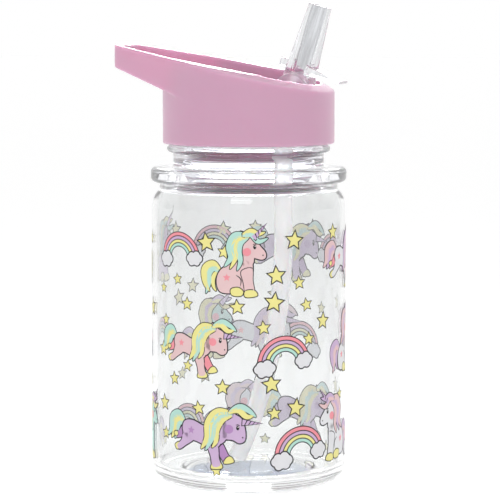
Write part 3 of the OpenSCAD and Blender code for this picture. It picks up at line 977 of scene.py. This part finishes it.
class PrintStars(bpy.types.Operator):
    """Print the stars between the other motifs"""
    bl_idname = "kids_bottle.stars"
    bl_label = "Stars"

    def execute(self, context):
        out = Print(flat=True)
        out.group([star_outline(prints().star / MM)], "yellow", 0, (0, 0, 0, 1.0, False))
        motif = mesh_object("star_motif", out.verts, out.faces, [], smooth=False)
        motif.data.attributes.new("part", "INT", "FACE").data.foreach_set("value", out.inks)
        used = sorted(set(out.inks))
        places = [(s * MM, -PRINT_GAP * MM, z * MM, share, turn) for s, z, share, turn in STARS]
        stars = repeated("star_print", places, motif, BARREL_R * MM, FRONT - 90, 0.0,
                         {k: ink_set()[k] for k in used})
        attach(stars, "bottle")
        return {"FINISHED"}


# ---- stage ----

def area_light(name, place, aim, size, power, spread=180):
    """A rectangular lamp turned to its aim."""
    data = bpy.data.lights.new(name, "AREA")
    data.shape = "RECTANGLE"
    data.size, data.size_y = size
    data.energy = power
    data.spread = math.radians(spread)
    obj = bpy.data.objects.new(name, data)
    obj.location = place
    obj.rotation_euler = (Vector(aim) - Vector(place)).to_track_quat("-Z", "Y").to_euler()
    bpy.context.scene.collection.objects.link(obj)


# name, metres toward the camera, to its right and above the middle, size in metres, watts, spread in degrees:
# the strip gives tops their sheen, the low back lamp draws the lid's rim, the key reaches into the recess
LAMPS = (
    ("strip", -0.25, 0.05, 0.6, (0.5, 0.08), 0.6, 180),
    ("back", -1.6, 0.0, 0.5, (1.2, 0.3), 0.7, 20),
    ("key", 0.5, -0.1, 0.62, (0.3, 0.3), 0.8, 180),
)
LIT_MIDDLE = Vector((0, 0, 0.12))
FLOOR_HALF = 12.0   # metres, so that its far edge is hidden in the white behind it
PAPER_GLOW = 0.48   # what the paper gives off, beside white
SHADE = 0.6         # brightness of the side cards and of straight above, beside white
# metres from the axis, above the floor, to the right, and the height that the camera looks at; then mm
CAMERA_AWAY, CAMERA_UP, CAMERA_ASIDE, CAMERA_AIM = 0.861, 0.1702, 0.0005, 0.0866
SENSOR, LENS = 36, 164.7


# Paper on a light table, rolled: matt, and as bright from below as from above, so shadows stay faint
def paper_white():
    mat, tree, out = new_material("paper_white_lit_from_below")
    fibre = noise(tree, 60.0, 2.0)
    white = linear(colours().floor)
    duller = tuple(c * 0.99 for c in white[:3]) + (1,)
    tone = add(tree, "ShaderNodeMix", {"data_type": "RGBA", 6: duller, 7: white}, {"Factor": (fibre, "Fac")})
    paper = add(tree, "ShaderNodeBsdfPrincipled",
                {"Roughness": 0.9, "Emission Color": (1, 1, 1, 1), "Emission Strength": PAPER_GLOW},
                {"Base Color": (tone, 2)})
    surface(tree, out, paper)
    return mat


def studio():
    """White all round, but for a grey card at each side and less light from straight above."""
    world = bpy.data.worlds.new("studio")
    world.use_nodes = True
    tree = world.node_tree
    round_to = add(tree, "ShaderNodeTexCoord")
    turned = add(tree, "ShaderNodeMapping", {"Rotation": (0, 0, -math.radians(FRONT))},
                 {"Vector": (round_to, "Generated")})
    apart = add(tree, "ShaderNodeSeparateXYZ", {}, {"Vector": (turned, "Vector")})
    sideways = add(tree, "ShaderNodeMath", {"operation": "ABSOLUTE"}, {0: (apart, "X")})
    # the cards draw the edges of clear pieces
    card = ramp(tree, (sideways, "Value"), 0.80, 0.92, 1.0, SHADE)
    # dimmer overhead, so that tops are lit by the strip and the sides stay bright
    overhead = ramp(tree, (apart, "Z"), 0.45, 0.95, 1.0, SHADE)
    both = add(tree, "ShaderNodeMath", {"operation": "MULTIPLY"},
               {0: (card, "Result"), 1: (overhead, "Result")})
    tree.links.new(both.outputs["Value"], tree.nodes["Background"].inputs["Color"])
    return world


class MakeStage(bpy.types.Operator):
    """Lay the pale floor, light it softly and set the camera"""
    bl_idname = "kids_bottle.stage"
    bl_label = "Stage"

    def execute(self, context):
        scene = context.scene
        mat = paper_white()
        corners = [(x * FLOOR_HALF, y * FLOOR_HALF, 0) for x, y in ((-1, -1), (1, -1), (1, 1), (-1, 1))]
        floor = mesh_object("floor", corners, [(0, 1, 2, 3)], [mat], smooth=False)
        scene.world = studio()
        a = math.radians(FRONT)
        side, toward = Vector((math.cos(a), math.sin(a), 0)), Vector((math.sin(a), -math.cos(a), 0))
        for name, near, right, above, size, power, spread in LAMPS:
            place = LIT_MIDDLE + toward * near + side * right + Vector((0, 0, above))
            area_light(name, place, LIT_MIDDLE, size, power, spread)
        data = bpy.data.cameras.new("camera")
        cam = bpy.data.objects.new("camera", data)
        scene.collection.objects.link(cam)
        cam.location = toward * CAMERA_AWAY + Vector((0, 0, CAMERA_UP)) + side * CAMERA_ASIDE
        target = Vector((0, 0, CAMERA_AIM)) + side * CAMERA_ASIDE
        cam.rotation_euler = (target - cam.location).to_track_quat("-Z", "Y").to_euler()
        data.sensor_width, data.lens = SENSOR, LENS
        data.clip_start, data.clip_end = 0.05, 40
        scene.camera = cam
        scene.view_settings.view_transform = "Standard"
        # light is turned round many times inside thick clear plastic before it gets out
        scene.cycles.max_bounces = 24
        scene.cycles.glossy_bounces = 20
        scene.cycles.transmission_bounces = 24
        scene.cycles.transparent_max_bounces = 32
        return {"FINISHED"}


class BottlePanel(bpy.types.Panel):
    """Lists the bottle's operators and settings"""
    bl_label = "Kids bottle"
    bl_idname = "VIEW3D_PT_kids_bottle"
    bl_space_type = "VIEW_3D"
    bl_region_type = "UI"
    bl_category = "Bottle"

    def draw(self, context):
        for maker in MAKERS:
            self.layout.operator(maker.bl_idname)
        for group in (context.scene.bottle_sizes, context.scene.bottle_prints, context.scene.bottle_colours):
            box = self.layout.box()
            for key in group.__annotations__:
                box.prop(group, key)


MAKERS = (MakeStage, MakeBottle, MakeThread, MakeLid, MakeSpout, FinishInsides,
          PrintRainbows, PrintHorses, PrintStars)
GROUPS = (("bottle_sizes", BottleSizes), ("bottle_prints", PrintSizes), ("bottle_colours", BottleColours))


def register():
    """Registers the settings, the operators and the panel."""
    for _, group in GROUPS:
        bpy.utils.register_class(group)
    for name, group in GROUPS:
        setattr(bpy.types.Scene, name, bpy.props.PointerProperty(type=group))
    for cls in (*MAKERS, BottlePanel):
        bpy.utils.register_class(cls)


def unregister():
    """Takes them all out again."""
    for cls in reversed((*MAKERS, BottlePanel)):
        bpy.utils.unregister_class(cls)
    for name, group in reversed(GROUPS):
        delattr(bpy.types.Scene, name)
        bpy.utils.unregister_class(group)


def main():
    """Makes everything in order."""
    register()
    for maker in MAKERS:
        operator = maker.bl_idname.split(".")[1]
        getattr(bpy.ops.kids_bottle, operator)()


if __name__ == "__main__":
    main()
